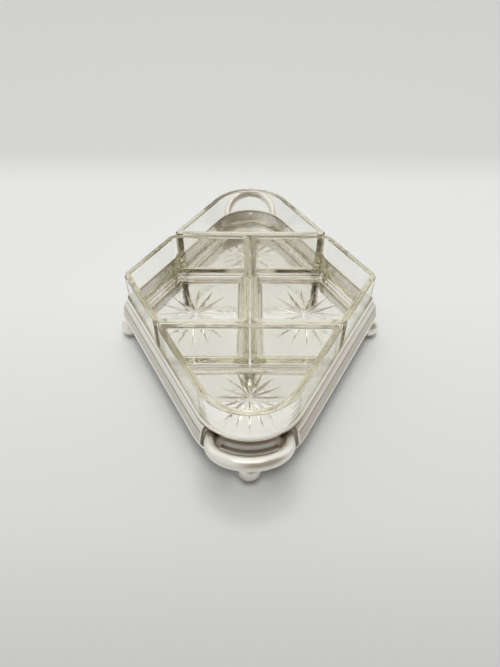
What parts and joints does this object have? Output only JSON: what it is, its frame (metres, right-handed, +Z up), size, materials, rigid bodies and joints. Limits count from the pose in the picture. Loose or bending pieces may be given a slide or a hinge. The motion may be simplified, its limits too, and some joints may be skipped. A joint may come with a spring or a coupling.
{
  "type": "sectioned serving stand",
  "caption": "Lozenge-shaped silver-plated serving stand on ball feet, with loop handles and reeded borders, holding lift-out glass dishes with star-cut bases.",
  "frame": {"origin": "on the table under the middle of the tray", "axes": "+Y along the long diagonal from the front handle to the back handle, +Z up, +X to the right seen from the front handle"},
  "size_m": [0.2222, 0.3244, 0.065],
  "materials": {
    "silver_plate": "polished silver plate with light wear and tarnish in the recesses",
    "clear_glass": "clear pressed glass, faintly khaki in its thick edges"
  },
  "bodies": {
    "stand": {"tray_floor": "silver_plate", "gallery_wall": "silver_plate", "rim_bead": "silver_plate", "border_front_left": "silver_plate", "border_front_right": "silver_plate", "border_back_left": "silver_plate", "border_back_right": "silver_plate", "border_stop_front_left": "silver_plate", "border_stop_front_right": "silver_plate", "border_stop_back_left": "silver_plate", "border_stop_back_right": "silver_plate", "nose_moulding_front": "silver_plate", "nose_moulding_back": "silver_plate", "handle_front": "silver_plate", "handle_back": "silver_plate", "foot_front": "silver_plate", "foot_back": "silver_plate", "foot_left": "silver_plate", "foot_right": "silver_plate"},
    "dish_front": {"dish_front": "clear_glass"},
    "dish_back": {"dish_back": "clear_glass"},
    "dish_left": {"dish_left": "clear_glass"},
    "dish_right": {"dish_right": "clear_glass"}
  },
  "joints": [
    {"name": "dish_front_lift", "type": "slide", "parent": "stand", "child": "dish_front", "axis": [0, 0, 1], "range_m": [0, 0.06]},
    {"name": "dish_back_lift", "type": "slide", "parent": "stand", "child": "dish_back", "axis": [0, 0, 1], "range_m": [0, 0.06]},
    {"name": "dish_left_lift", "type": "slide", "parent": "stand", "child": "dish_left", "axis": [0, 0, 1], "range_m": [0, 0.06]},
    {"name": "dish_right_lift", "type": "slide", "parent": "stand", "child": "dish_right", "axis": [0, 0, 1], "range_m": [0, 0.06]}
  ]
}
